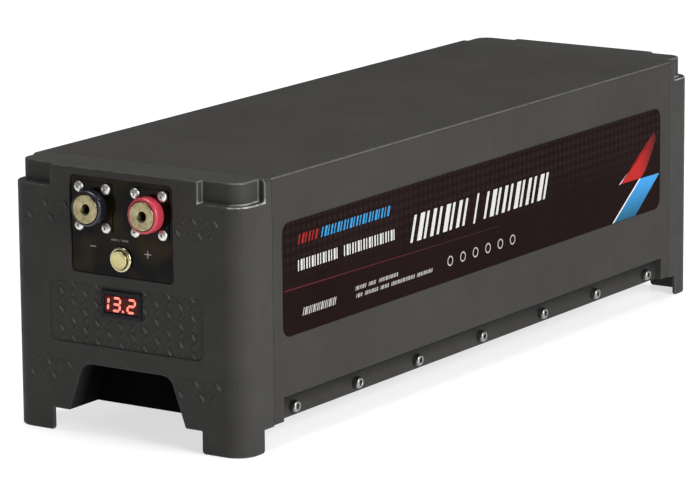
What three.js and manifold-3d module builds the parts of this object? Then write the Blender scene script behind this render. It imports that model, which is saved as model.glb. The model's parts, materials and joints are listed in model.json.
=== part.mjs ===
// Slim deep cycle battery. A folded metal cover closes over a tray, a moulded cap shuts each end,
// and the cells, busbars and control board sit inside. Millimetres, +Z up, terminals facing -Y.
import * as THREE from 'three';
import { mergeVertices } from 'three/addons/utils/BufferGeometryUtils.js';
import Module from 'manifold-3d';

const wasm = await Module();
wasm.setup();

// ---- Driving dimensions ----

const CASE_LENGTH = 624;
const WIDTH = 198;
const HEIGHT = 190;
const GAP = 0.3;                  // clearance where two pieces meet
const TERMINAL_PROUD = 9;         // terminal faces in front of the front cap

const CAP = {
  depth: 36,
  wall: 3,
  floor: 16,                      // underside of the cap, carried above the ground by the feet
  cornerRadius: 16,
  spigotLength: 12,
  spigotWall: 2.5,
  spigotBottom: 40,
};
const FOOT = { inner: 63.5, depth: 25 };
const REBATE = { start: 63, end: 28, inset: 5.5, height: 15.5 };   // takes a foot of the case above
const HAND_HOLD = { bottomHalf: 50, topHalf: 38, top: 51, cornerRadius: 8, backWall: 3 };
const TREAD_PANEL = { half: 66, bottom: 65, top: 108.5, radius: 6, depth: 1 };
const WINDOW = { half: 43.8, bottom: 116, top: 184.5, radius: 4 };

const COVER = { sheet: 1.6, cornerRadius: 3, bottom: 17 };
const LEDGE = { inset: 5.7, top: 34, endBand: 12 };
const TRAY = { sheet: 2, wallTop: 38 };

const PANEL_X = -2;               // centre line of the window and the two terminals
const CONTROLS_X = -3;            // centre line of the button and the meter
const PANEL = { face: 1.5, plateFront: 3.3, plateBack: 6.3, overlap: 4 };
const PAD = { width: 32, height: 35, front: 0.7, radius: 2 };
const TERMINAL = { spread: 48, z: 163, faceRadius: 10.2, stemRadius: 7, stemEnd: 16 };
const TERMINAL_HOLE = { radius: 3.4, depth: 14, chamfer: 0.8, tip: 1.9 };
const COLLAR = { bore: 10.6, radius: 12.7, frontRadius: 11.2, rounding: 4 };
const TERMINAL_SCREW = { spreadX: 23, spreadZ: 27, head: 3.9, height: 2.4, shank: 1.9, length: 9 };

const BUTTON = { z: 128.5, bezelRadius: 9, bezelHeight: 2, barrelRadius: 7.7, barrelEnd: 30 };
const BUTTON_CAP = { radius: 6.6, length: 6, proud: 1.8, travel: 2.5 };
const BUTTON_NUT = { acrossFlats: 19, thickness: 3 };
const METER = { z: 96.6, width: 34, height: 19, bodyWidth: 30, bodyHeight: 15, bodyEnd: 18 };
const METER_FACE = { width: 28.4, height: 12.6, depth: 5, setBack: 0.6 };
const METER_FLANGE = { thickness: 1.6, lap: 0.5 };

const SIDE_SCREW = {
  z: 24,
  head: 4.25,
  height: 4.6,
  socket: 2.1,
  socketDepth: 2.5,
  shank: 2.5,
  length: 10,
};
const SIDE_SCREW_PITCH = { centre: 87.7, outer: 79 };
const SCREW_CLEARANCE = 0.4;
const SCREW_SIDES = 10;

const LABEL = { start: 48, end: 572, bottom: 75.8, top: 156, radius: 8, thickness: 0.4, gap: 0.1 };

const CELL = { width: 160, thickness: 50, height: 118.5, pitch: 50.5, count: 8 };
const CELL_POST = { x: 55, radius: 8, height: 2.5 };
const PAD_SHEET = { thickness: 3, margin: 2 };
const BUSBAR = { width: 18, thickness: 2.5, overhang: 12 };
const END_PLATE = { thickness: 8, height: 112 };
const BAND = { thickness: 0.6, height: 16, lowerZ: 50, upperZ: 100 };
const BOARD = { halfWidth: 75, bottom: 35, top: 130, thickness: 1.6 };
const BOARD_POST = { radius: 3, length: 5, inset: 5, sides: 10 };
const HEATSINK = { top: 102, base: 3, finHeight: 10, finThickness: 2, finCount: 9 };
const LEAD = { radius: 4.5, sides: 10, spacing: 18 };
const LEAD_PLACES = { ceiling: 168, padZ: 117, padX: 30, drop: 14 };

// ---- Places worked out from them ----

const HALF_WIDTH = WIDTH / 2;
const FRONT = (TERMINAL_PROUD - CASE_LENGTH) / 2;
const REAR = FRONT + CASE_LENGTH;
const MIDDLE = (FRONT + REAR) / 2;
const COVER_FRONT = FRONT + CAP.depth + GAP;
const COVER_REAR = REAR - CAP.depth - GAP;
const STRIP_FACE = HALF_WIDTH - LEDGE.inset;
const TRAY_HALF = STRIP_FACE - COVER.sheet - GAP;
const CELL_BOTTOM = COVER.bottom + TRAY.sheet + PAD_SHEET.thickness + 2 * GAP;
const CELL_TOP = CELL_BOTTOM + CELL.height;
const STACK_HALF = (CELL.pitch * (CELL.count - 1) + CELL.thickness) / 2;
const BUSBAR_BOTTOM = CELL_TOP + CELL_POST.height + GAP;
const BUSBAR_TOP = BUSBAR_BOTTOM + BUSBAR.thickness;
const PLATE_OUTER = STACK_HALF + GAP + END_PLATE.thickness;
const BOARD_BACK = MIDDLE - PLATE_OUTER - GAP - BOARD_POST.length;
const BOARD_FRONT = BOARD_BACK - BOARD.thickness;

// ---- Solids and meshes ----

function toSolid(geometry) {
  const bare = geometry.clone();
  bare.deleteAttribute('normal');
  bare.deleteAttribute('uv');
  const welded = mergeVertices(bare, 1e-4);
  const mesh = new wasm.Mesh({
    numProp: 3,
    vertProperties: new Float32Array(welded.attributes.position.array),
    triVerts: new Uint32Array(welded.index.array),
  });
  return new wasm.Manifold(mesh);
}

function toGeometry(solid) {
  const mesh = solid.getMesh();
  const geometry = new THREE.BufferGeometry();
  geometry.setAttribute('position', new THREE.BufferAttribute(mesh.vertProperties, 3));
  geometry.setIndex(new THREE.BufferAttribute(mesh.triVerts, 1));
  geometry.computeVertexNormals();
  return geometry;
}

function union(solids) {
  return solids.reduce((whole, piece) => whole.add(piece));
}

function box([x0, x1], [y0, y1], [z0, z1]) {
  const geometry = new THREE.BoxGeometry(x1 - x0, y1 - y0, z1 - z0);
  geometry.translate((x0 + x1) / 2, (y0 + y1) / 2, (z0 + z1) / 2);
  return toSolid(geometry);
}

function bothSides([x0, x1], y, z) {
  return box([x0, x1], y, z).add(box([-x1, -x0], y, z));
}

function centredBox(x, z, width, height, y0, y1) {
  return box([x - width / 2, x + width / 2], [y0, y1], [z - height / 2, z + height / 2]);
}

function extruded(shape, depth, curveSegments) {
  return new THREE.ExtrudeGeometry(shape, { depth, bevelEnabled: false, curveSegments });
}

// A shape drawn in X and Z, pushed along Y from y0 to y1.
function prismY(shape, y0, y1, curveSegments = 4) {
  const geometry = extruded(shape, y1 - y0, curveSegments);
  geometry.rotateX(Math.PI / 2);
  geometry.translate(0, y1, 0);
  return toSolid(geometry);
}

// A shape drawn in X and Y, pushed along Z from z0 to z1.
function prismZ(shape, z0, z1, curveSegments = 6) {
  const geometry = extruded(shape, z1 - z0, curveSegments);
  geometry.translate(0, 0, z0);
  return toSolid(geometry);
}

// A shape drawn in Y and Z, pushed along X from x0 to x1.
function prismX(shape, x0, x1, curveSegments = 4) {
  const geometry = extruded(shape, x1 - x0, curveSegments);
  const turn = new THREE.Matrix4().makeBasis(
    new THREE.Vector3(0, 1, 0),
    new THREE.Vector3(0, 0, 1),
    new THREE.Vector3(1, 0, 0),
  );
  geometry.applyMatrix4(turn);
  geometry.translate(x0, 0, 0);
  return toSolid(geometry);
}

function rodY(radius, x, z, y0, y1, sides = 24) {
  const geometry = new THREE.CylinderGeometry(radius, radius, y1 - y0, sides);
  geometry.translate(x, (y0 + y1) / 2, z);
  return toSolid(geometry);
}

function rodX(radius, y, z, x0, x1, sides = 10) {
  const geometry = new THREE.CylinderGeometry(radius, radius, x1 - x0, sides);
  geometry.rotateZ(Math.PI / 2);
  geometry.translate((x0 + x1) / 2, y, z);
  return toSolid(geometry);
}

function rodZ(radius, x, y, z0, z1, sides = 10) {
  const geometry = new THREE.CylinderGeometry(radius, radius, z1 - z0, sides);
  geometry.rotateX(Math.PI / 2);
  geometry.translate(x, y, (z0 + z1) / 2);
  return toSolid(geometry);
}

// A turned piece. The profile runs from the low end of the axis to the high end, as [radius, height].
function turned(profile, sides) {
  const points = profile.map(([radius, height]) => new THREE.Vector2(radius, height));
  return new THREE.LatheGeometry(points, sides);
}

function roundedRect(x0, x1, y0, y1, radius) {
  const shape = new THREE.Shape();
  shape.moveTo(x0 + radius, y0);
  shape.lineTo(x1 - radius, y0);
  shape.absarc(x1 - radius, y0 + radius, radius, -Math.PI / 2, 0);
  shape.lineTo(x1, y1 - radius);
  shape.absarc(x1 - radius, y1 - radius, radius, 0, Math.PI / 2);
  shape.lineTo(x0 + radius, y1);
  shape.absarc(x0 + radius, y1 - radius, radius, Math.PI / 2, Math.PI);
  shape.lineTo(x0, y0 + radius);
  shape.absarc(x0 + radius, y0 + radius, radius, Math.PI, 1.5 * Math.PI);
  return shape;
}

const battery = new THREE.Group();

function finish(color, roughness, metalness) {
  return { color, roughness, metalness };
}

const LOOKS = {
  coatedMetal: finish(0x4a4945, 0.55, 0.3),
  mouldedPlastic: finish(0x33322f, 0.7, 0),
  glossPlastic: finish(0x0e0e10, 0.12, 0),
  redPlastic: finish(0xd12a3c, 0.35, 0),
  brass: finish(0xb9a66a, 0.3, 1),
  steel: finish(0xb8b8b4, 0.3, 1),
  buttonMetal: finish(0xc9bd8c, 0.25, 1),
  printedLabel: finish(0x231916, 0.35, 0),
  ledFace: finish(0x2a0705, 0.2, 0),
  cellBlue: finish(0x2b5fa8, 0.45, 0),
  copper: finish(0xb87333, 0.35, 1),
  aluminium: finish(0xb4b6b8, 0.4, 1),
  boardGreen: finish(0x1f5b34, 0.5, 0),
  foam: finish(0x2c2c2c, 0.95, 0),
  redLead: finish(0xa81c1c, 0.5, 0),
  blackLead: finish(0x191919, 0.5, 0),
};

function add(name, shape, look) {
  const geometry = shape.isBufferGeometry ? shape : toGeometry(shape);
  const mesh = new THREE.Mesh(geometry, new THREE.MeshStandardMaterial(look));
  mesh.name = name;
  battery.add(mesh);
  return mesh;
}

// ---- End caps: a moulded shell, its face at y = 0 and its open side towards +Y ----

// The cap's outline from above, drawn smaller by inset on its front and sides.
function capPlan(inset, back) {
  const side = HALF_WIDTH - inset;
  const radius = CAP.cornerRadius - inset;
  const shape = new THREE.Shape();
  shape.moveTo(-side, back);
  shape.lineTo(-side, inset + radius);
  shape.absarc(-side + radius, inset + radius, radius, Math.PI, 1.5 * Math.PI);
  shape.lineTo(side - radius, inset);
  shape.absarc(side - radius, inset + radius, radius, -Math.PI / 2, 0);
  shape.lineTo(side, back);
  return shape;
}

// The hand hold narrows upwards to two rounded corners. It is drawn larger by grow.
function handHoldShape(grow) {
  const bottom = HAND_HOLD.bottomHalf + grow;
  const top = HAND_HOLD.topHalf + grow;
  const height = HAND_HOLD.top + grow;
  const low = CAP.floor - (grow > 0 ? 0 : 1);
  const radius = HAND_HOLD.cornerRadius;
  const shape = new THREE.Shape();
  shape.moveTo(-bottom, low);
  shape.lineTo(bottom, low);
  shape.lineTo(top + 2, height - radius);
  shape.quadraticCurveTo(top, height, top - radius, height);
  shape.lineTo(-top + radius, height);
  shape.quadraticCurveTo(-top, height, -top - 2, height - radius);
  return shape;
}

function feet() {
  const { wall, floor, depth } = CAP;
  const outer = prismZ(capPlan(0, depth), 0, floor + 1);
  const rim = outer.subtract(prismZ(capPlan(wall, depth + 1), -1, floor + 2));
  const corners = bothSides([FOOT.inner, WIDTH], [-1, FOOT.depth], [-1, HEIGHT]);
  return rim.intersect(corners);
}

// The stepped-in top corners. They are drawn larger by grow where the shell needs its wall behind them.
function cornerRebates(grow) {
  const y = [-1, REBATE.end + grow];
  const zone = bothSides([REBATE.start - grow, WIDTH], y, [HEIGHT - REBATE.height - grow, HEIGHT + 1]);
  return zone.subtract(prismZ(capPlan(REBATE.inset + grow, CAP.depth + 1), 0, HEIGHT + 2));
}

function capCavity() {
  const { wall, floor, depth } = CAP;
  const hollow = prismZ(capPlan(wall, depth + 1), floor + wall, HEIGHT - wall);
  return hollow.subtract(cornerRebates(wall)).subtract(prismY(handHoldShape(wall), -1, depth));
}

function spigot() {
  const start = CAP.depth - CAP.wall;
  const end = CAP.depth + CAP.spigotLength;
  const side = HALF_WIDTH - COVER.sheet - GAP;
  const top = HEIGHT - COVER.sheet - GAP;
  const outer = prismY(roundedRect(-side, side, -HEIGHT, top, COVER.cornerRadius), start, end);
  const inside = side - CAP.spigotWall;
  const bore = box([-inside, inside], [start - 1, end + 1], [-HEIGHT - 1, top - CAP.spigotWall]);
  const below = box([-WIDTH, WIDTH], [start - 1, end + 1], [-HEIGHT - 1, CAP.spigotBottom]);
  return outer.subtract(bore).subtract(below);
}

function plainCap() {
  const shell = prismZ(capPlan(0, CAP.depth), CAP.floor, HEIGHT).subtract(capCavity());
  const handHold = prismY(handHoldShape(0), -1, CAP.depth - HAND_HOLD.backWall);
  const { half, bottom, top, radius, depth } = TREAD_PANEL;
  const panel = prismY(roundedRect(-half, half, bottom, top, radius), -1, depth);
  return union([shell, spigot(), feet()]).subtract(union([handHold, cornerRebates(0), panel]));
}

function frontCap() {
  const { half, bottom, top, radius } = WINDOW;
  const opening = roundedRect(PANEL_X - half, PANEL_X + half, bottom, top, radius);
  const window = prismY(opening, -1, CAP.wall + 1);
  const holeWidth = METER.bodyWidth + 2 * GAP;
  const holeHeight = METER.bodyHeight + 2 * GAP;
  const meterHole = centredBox(CONTROLS_X, METER.z, holeWidth, holeHeight, -1, CAP.wall + 1);
  return plainCap().subtract(window).subtract(meterHole);
}

function addEndCaps() {
  add('front_end_cap', frontCap(), LOOKS.mouldedPlastic).position.y = FRONT;
  const rear = add('rear_end_cap', plainCap(), LOOKS.mouldedPlastic);
  rear.rotation.z = Math.PI;
  rear.position.y = REAR;
}

// ---- Cover, tray and the screws that join them ----

function sideScrewPlaces() {
  const { centre, outer } = SIDE_SCREW_PITCH;
  const reach = [0, centre, centre + outer, centre + 2 * outer];
  const mirrored = reach.slice(1).reverse().map((offset) => -offset);
  return [...mirrored, ...reach].map((offset) => MIDDLE + offset);
}

function sideScrewHoles() {
  const radius = SIDE_SCREW.shank + SCREW_CLEARANCE;
  const holes = sideScrewPlaces().map((y) => rodX(radius, y, SIDE_SCREW.z, -WIDTH, WIDTH));
  return union(holes);
}

// The sides are pressed in along the bottom, so the screw heads stay inside the case's width.
function coverSleeve() {
  const { sheet, cornerRadius, bottom } = COVER;
  const inside = HALF_WIDTH - sheet;
  const outerShape = roundedRect(-HALF_WIDTH, HALF_WIDTH, -cornerRadius, HEIGHT, cornerRadius);
  const boreShape = roundedRect(-inside, inside, -HEIGHT, HEIGHT - sheet, cornerRadius - sheet);
  const outer = prismY(outerShape, COVER_FRONT, COVER_REAR);
  const bore = prismY(boreShape, COVER_FRONT - 1, COVER_REAR + 1);
  const below = box([-WIDTH, WIDTH], [COVER_FRONT - 1, COVER_REAR + 1], [-HEIGHT, bottom]);
  const ledgeY = [COVER_FRONT + LEDGE.endBand, COVER_REAR - LEDGE.endBand];
  const shellY = [ledgeY[0] - sheet, ledgeY[1] + sheet];
  const shell = bothSides([STRIP_FACE - sheet, HALF_WIDTH], shellY, [bottom, LEDGE.top + sheet]);
  const recess = bothSides([STRIP_FACE, WIDTH], ledgeY, [0, LEDGE.top]);
  return outer.subtract(bore).subtract(below).add(shell).subtract(recess).subtract(sideScrewHoles());
}

function baseTray() {
  const { sheet, wallTop } = TRAY;
  const { bottom } = COVER;
  const outer = box([-TRAY_HALF, TRAY_HALF], [COVER_FRONT, COVER_REAR], [bottom, wallTop]);
  const inside = TRAY_HALF - sheet;
  const insideY = [COVER_FRONT + sheet, COVER_REAR - sheet];
  const pan = box([-inside, inside], insideY, [bottom + sheet, wallTop + 1]);
  return outer.subtract(pan).subtract(sideScrewHoles());
}

// A socket head cap screw, its head from 0 up and its shank below 0.
function socketScrew({ head, height, socket, socketDepth, shank, length }) {
  const edge = 0.5;
  const profile = [
    [0, -length], [shank, -length], [shank, 0],
    [head, 0], [head, height - edge], [head - edge, height], [0, height],
  ];
  const hexagon = new THREE.CylinderGeometry(socket, socket, 2 * socketDepth, 6);
  hexagon.translate(0, height, 0);
  return toGeometry(toSolid(turned(profile, SCREW_SIDES)).subtract(toSolid(hexagon)));
}

function addSideScrews() {
  const geometry = socketScrew(SIDE_SCREW);
  const sides = [['left', -1], ['right', 1]];
  for (const [side, sign] of sides) {
    sideScrewPlaces().forEach((y, index) => {
      const screw = add(`side_screw_${side}_${index + 1}`, geometry, LOOKS.steel);
      screw.rotation.z = -sign * Math.PI / 2;
      screw.position.set(sign * (STRIP_FACE + GAP), y, SIDE_SCREW.z);
    });
  }
}

function addCase() {
  add('cover_sleeve', coverSleeve(), LOOKS.coatedMetal);
  add('base_tray', baseTray(), LOOKS.coatedMetal);
  addSideScrews();
  const { start, end, bottom, top, radius, thickness, gap } = LABEL;
  const outline = roundedRect(FRONT + start, FRONT + end, bottom, top, radius);
  const inner = HALF_WIDTH + gap;
  add('side_label', prismX(outline, inner, inner + thickness), LOOKS.printedLabel);
}

// ---- Terminal panel, terminals and their screws ----

function terminalX(sign) {
  return PANEL_X + sign * TERMINAL.spread / 2;
}

function terminalScrewPlaces() {
  const places = [];
  for (const sign of [-1, 1]) {
    for (const dz of [1, -1]) {
      for (const dx of [-1, 1]) {
        const x = terminalX(sign) + dx * TERMINAL_SCREW.spreadX / 2;
        places.push([x, TERMINAL.z + dz * TERMINAL_SCREW.spreadZ / 2]);
      }
    }
  }
  return places;
}

function terminalPad(sign) {
  const x = terminalX(sign);
  const halfX = PAD.width / 2;
  const halfZ = PAD.height / 2;
  const outline = roundedRect(x - halfX, x + halfX, TERMINAL.z - halfZ, TERMINAL.z + halfZ, PAD.radius);
  return prismY(outline, FRONT + PAD.front, FRONT + PANEL.plateBack, 3);
}

function terminalPanel() {
  const { half, bottom, top, radius } = WINDOW;
  const bossHalf = half - GAP;
  const bossShape = roundedRect(PANEL_X - bossHalf, PANEL_X + bossHalf, bottom + GAP, top - GAP, radius);
  const boss = prismY(bossShape, FRONT + PANEL.face, FRONT + PANEL.plateBack);
  const reach = half + PANEL.overlap;
  const plateY = [FRONT + PANEL.plateFront, FRONT + PANEL.plateBack];
  const plateZ = [bottom - PANEL.overlap, HEIGHT - CAP.wall - GAP];
  const plate = box([PANEL_X - reach, PANEL_X + reach], plateY, plateZ);
  const y = [FRONT - TERMINAL_PROUD, FRONT + CAP.depth];
  const stems = [-1, 1].map((sign) => rodY(TERMINAL.stemRadius + GAP, terminalX(sign), TERMINAL.z, ...y));
  const screws = terminalScrewPlaces().map(([x, z]) => rodY(TERMINAL_SCREW.shank + GAP, x, z, ...y, 10));
  const button = rodY(BUTTON.barrelRadius + GAP, CONTROLS_X, BUTTON.z, ...y);
  const holes = union([...stems, ...screws, button]);
  return union([boss, plate, terminalPad(-1), terminalPad(1)]).subtract(holes);
}

// The stud stands on the pad. Its axis is local Y, with the cable face at the top.
function terminalStud() {
  const { faceRadius, stemRadius, stemEnd } = TERMINAL;
  const { radius, depth, chamfer, tip } = TERMINAL_HOLE;
  const shoulder = -PAD.front + GAP;
  const edge = 0.5;
  const bottom = TERMINAL_PROUD - depth;
  const profile = [
    [0, -stemEnd], [stemRadius, -stemEnd], [stemRadius, shoulder], [faceRadius, shoulder],
    [faceRadius, TERMINAL_PROUD - edge], [faceRadius - edge, TERMINAL_PROUD],
    [radius + chamfer, TERMINAL_PROUD], [radius, TERMINAL_PROUD - chamfer],
    [radius, bottom], [0, bottom - tip],
  ];
  return turned(profile, 24);
}

function terminalCollar() {
  const { bore, radius, frontRadius, rounding } = COLLAR;
  const low = -PAD.front + GAP;
  const high = TERMINAL_PROUD - 0.5;
  const profile = [
    [bore, low], [radius, low], [radius, high - rounding], [(radius + frontRadius) / 2 + 0.4, high - 0.8],
    [frontRadius, high], [bore, high], [bore, low],
  ];
  return turned(profile, 24);
}

function panScrew({ head, height, shank, length }) {
  const profile = [
    [0, -length], [shank, -length], [shank, 0],
    [head, 0], [head, height / 2], [0.7 * head, height], [0, height],
  ];
  return turned(profile, SCREW_SIDES);
}

function faceForward(mesh, x, y, z) {
  mesh.rotation.z = Math.PI;
  mesh.position.set(x, y, z);
}

function addTerminals() {
  add('terminal_panel', terminalPanel(), LOOKS.glossPlastic);
  const kinds = [['negative', -1, LOOKS.glossPlastic], ['positive', 1, LOOKS.redPlastic]];
  for (const [kind, sign, look] of kinds) {
    const collar = add(`${kind}_terminal_collar`, terminalCollar(), look);
    const stud = add(`${kind}_terminal_stud`, terminalStud(), LOOKS.brass);
    faceForward(collar, terminalX(sign), FRONT, TERMINAL.z);
    faceForward(stud, terminalX(sign), FRONT, TERMINAL.z);
  }
  terminalScrewPlaces().forEach(([x, z], index) => {
    const screw = add(`terminal_screw_${index + 1}`, panScrew(TERMINAL_SCREW), LOOKS.steel);
    faceForward(screw, x, FRONT + PAD.front - GAP, z);
  });
}

// ---- Power button and voltmeter ----

function buttonHousing() {
  const { z, bezelRadius, bezelHeight, barrelRadius, barrelEnd } = BUTTON;
  const bezelFront = FRONT + PANEL.face - GAP - bezelHeight;
  const bezel = rodY(bezelRadius, CONTROLS_X, z, bezelFront, FRONT + PANEL.face - GAP);
  const barrel = rodY(barrelRadius, CONTROLS_X, z, bezelFront + 1, FRONT + barrelEnd);
  const boreEnd = bezelFront - BUTTON_CAP.proud + BUTTON_CAP.length + BUTTON_CAP.travel + GAP;
  const bore = rodY(BUTTON_CAP.radius + GAP, CONTROLS_X, z, bezelFront - 1, boreEnd);
  return bezel.add(barrel).subtract(bore);
}

// The cap's axis is local Y, with its pressed face at the top.
function buttonCap() {
  const { radius, length } = BUTTON_CAP;
  const edge = 0.6;
  const profile = [[0, 0], [radius, 0], [radius, length - edge], [radius - edge, length], [0, length]];
  return turned(profile, 24);
}

function buttonNut() {
  const corner = BUTTON_NUT.acrossFlats / Math.sqrt(3);
  const y0 = FRONT + PANEL.plateBack + GAP;
  const y1 = y0 + BUTTON_NUT.thickness;
  const hexagon = rodY(corner, CONTROLS_X, BUTTON.z, y0, y1, 6);
  return hexagon.subtract(rodY(BUTTON.barrelRadius + GAP, CONTROLS_X, BUTTON.z, y0 - 1, y1 + 1));
}

function addButton() {
  add('power_button_housing', buttonHousing(), LOOKS.steel);
  add('power_button_nut', buttonNut(), LOOKS.steel);
  const bezelFront = FRONT + PANEL.face - GAP - BUTTON.bezelHeight;
  const back = bezelFront - BUTTON_CAP.proud + BUTTON_CAP.length;
  faceForward(add('power_button_cap', buttonCap(), LOOKS.buttonMetal), CONTROLS_X, back, BUTTON.z);
}

function addVoltmeter() {
  const x = CONTROLS_X;
  const { z, width, height, bodyWidth, bodyHeight, bodyEnd } = METER;
  const flangeBack = FRONT + TREAD_PANEL.depth - GAP;
  const flangeFront = flangeBack - METER_FLANGE.thickness;
  const flange = centredBox(x, z, width, height, flangeFront, flangeBack);
  const body = centredBox(x, z, bodyWidth, bodyHeight, flangeFront + METER_FLANGE.lap, FRONT + bodyEnd);
  const recessEnd = flangeFront + METER_FACE.depth;
  const recess = centredBox(x, z, METER_FACE.width, METER_FACE.height, flangeFront - 1, recessEnd);
  add('voltmeter_housing', flange.add(body).subtract(recess), LOOKS.glossPlastic);
  const faceWidth = METER_FACE.width - 2 * GAP;
  const faceHeight = METER_FACE.height - 2 * GAP;
  const faceFront = flangeFront + METER_FACE.setBack;
  const display = centredBox(x, z, faceWidth, faceHeight, faceFront, recessEnd - GAP);
  add('voltmeter_display', display, LOOKS.ledFace);
}

// ---- Cells, busbars and the clamp that holds the stack ----

function cellCentre(index) {
  return MIDDLE + (index - (CELL.count - 1) / 2) * CELL.pitch;
}

function cell() {
  const halfWidth = CELL.width / 2;
  const halfThickness = CELL.thickness / 2;
  const outline = roundedRect(-halfWidth, halfWidth, -halfThickness, halfThickness, 3);
  const body = prismZ(outline, 0, CELL.height, 2);
  const posts = [-1, 1].map((sign) => {
    return rodZ(CELL_POST.radius, sign * CELL_POST.x, 0, CELL.height - 1, CELL.height + CELL_POST.height);
  });
  return union([body, ...posts]);
}

// Cells are joined in parallel pairs, and the pairs in series. Each busbar spans firstCell to lastCell.
const BUSBAR_SPANS = [
  { side: -1, firstCell: 0, lastCell: 1 },
  { side: 1, firstCell: 0, lastCell: 3 },
  { side: -1, firstCell: 2, lastCell: 5 },
  { side: 1, firstCell: 4, lastCell: 7 },
  { side: -1, firstCell: 6, lastCell: 7 },
];

function busbar({ side, firstCell, lastCell }) {
  const x = side * CELL_POST.x;
  const y0 = cellCentre(firstCell) - BUSBAR.overhang;
  const y1 = cellCentre(lastCell) + BUSBAR.overhang;
  const outline = roundedRect(x - BUSBAR.width / 2, x + BUSBAR.width / 2, y0, y1, 4);
  return prismZ(outline, BUSBAR_BOTTOM, BUSBAR_TOP, 3);
}

function clampBand(bottom) {
  const z = [bottom, bottom + BAND.height];
  const halfX = CELL.width / 2 + GAP;
  const halfY = PLATE_OUTER + GAP;
  const thick = BAND.thickness;
  const outer = box([-halfX - thick, halfX + thick], [MIDDLE - halfY - thick, MIDDLE + halfY + thick], z);
  return outer.subtract(box([-halfX, halfX], [MIDDLE - halfY, MIDDLE + halfY], [z[0] - 1, z[1] + 1]));
}

function addEndPlate(name, sign) {
  const near = MIDDLE + sign * (STACK_HALF + GAP);
  const far = MIDDLE + sign * PLATE_OUTER;
  const half = CELL.width / 2;
  const y = [Math.min(near, far), Math.max(near, far)];
  add(name, box([-half, half], y, [CELL_BOTTOM, CELL_BOTTOM + END_PLATE.height]), LOOKS.aluminium);
}

function addCellStack() {
  const geometry = toGeometry(cell());
  for (let index = 0; index < CELL.count; index += 1) {
    const mesh = add(`cell_${index + 1}`, geometry, LOOKS.cellBlue);
    mesh.position.set(0, cellCentre(index), CELL_BOTTOM);
  }
  BUSBAR_SPANS.forEach((span, index) => add(`busbar_${index + 1}`, busbar(span), LOOKS.copper));
  addEndPlate('cell_end_plate_front', -1);
  addEndPlate('cell_end_plate_rear', 1);
  add('clamp_band_lower', clampBand(BAND.lowerZ), LOOKS.steel);
  add('clamp_band_upper', clampBand(BAND.upperZ), LOOKS.steel);
  const padX = CELL.width / 2 + PAD_SHEET.margin;
  const padY = PLATE_OUTER + PAD_SHEET.margin;
  const padBottom = COVER.bottom + TRAY.sheet + GAP;
  const padZ = [padBottom, padBottom + PAD_SHEET.thickness];
  add('cell_pad', box([-padX, padX], [MIDDLE - padY, MIDDLE + padY], padZ), LOOKS.foam);
}

// ---- Control board, its heatsink and the heavy leads ----

function controlBoard() {
  const { halfWidth, bottom, top } = BOARD;
  const { radius, length, inset, sides } = BOARD_POST;
  const board = box([-halfWidth, halfWidth], [BOARD_FRONT, BOARD_BACK], [bottom, top]);
  const posts = [];
  for (const x of [-halfWidth + inset, halfWidth - inset]) {
    for (const z of [bottom + inset, top - inset]) {
      posts.push(rodY(radius, x, z, BOARD_BACK - 1, BOARD_BACK + length, sides));
    }
  }
  return union([board, ...posts]);
}

function heatsink() {
  const { top, base, finHeight, finThickness, finCount } = HEATSINK;
  const back = BOARD_FRONT - GAP;
  const z = [BOARD.bottom, top];
  const pieces = [box([-BOARD.halfWidth, BOARD.halfWidth], [back - base, back], z)];
  const span = 2 * BOARD.halfWidth - finThickness;
  for (let index = 0; index < finCount; index += 1) {
    const x = -BOARD.halfWidth + span * index / (finCount - 1);
    pieces.push(box([x, x + finThickness], [back - base - finHeight, back - 1], z));
  }
  return union(pieces);
}

// A lead follows a smooth curve through its points, with a ring of corners every LEAD.spacing.
function lead(points) {
  const corners = points.map(([x, y, z]) => new THREE.Vector3(x, y, z));
  const extrudePath = new THREE.CatmullRomCurve3(corners, false, 'centripetal');
  const steps = Math.ceil(extrudePath.getLength() / LEAD.spacing);
  const section = new THREE.Shape();
  section.absarc(0, 0, LEAD.radius, 0, 2 * Math.PI);
  return new THREE.ExtrudeGeometry(section, { steps, curveSegments: LEAD.sides / 2, extrudePath });
}

// The last stretch of a lead, coming straight down on a busbar on the left side.
function landing(y) {
  const { drop } = LEAD_PLACES;
  return [drop, drop / 2, 0].map((rise) => [-CELL_POST.x, y, BUSBAR_TOP + GAP + rise]);
}

// From the positive stud back over the cells to the last busbar.
function positiveLead() {
  const x = terminalX(1);
  const y = FRONT + TERMINAL.stemEnd + GAP;
  const bar = cellCentre(CELL.count - 1.5);
  const { z } = TERMINAL;
  const { ceiling } = LEAD_PLACES;
  return lead([
    [x, y, z],
    [x, y + 10, z],
    [x, y + 22, z],
    [x - 6, y + 55, ceiling - 3],
    [4, y + 100, ceiling],
    [0, MIDDLE - 120, ceiling],
    [0, MIDDLE, ceiling],
    [-2, MIDDLE + 90, ceiling],
    [-22, bar - 42, ceiling],
    [-44, bar - 18, ceiling],
    [-54, bar - 3, ceiling - 5],
    ...landing(bar),
  ]);
}

// From the negative stud down to the control board.
function negativeLead() {
  const x = terminalX(-1);
  const y = FRONT + TERMINAL.stemEnd + GAP;
  const face = BOARD_FRONT - GAP;
  const { padX, padZ } = LEAD_PLACES;
  return lead([
    [x, y, TERMINAL.z],
    [x, y + 8, TERMINAL.z],
    [x, y + 16, TERMINAL.z],
    [x - 1, y + 34, TERMINAL.z - 9],
    [x - 3, y + 46, padZ + 19],
    [-padX, face - 17, padZ + 3],
    [-padX, face - 8, padZ],
    [-padX, face, padZ],
  ]);
}

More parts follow.
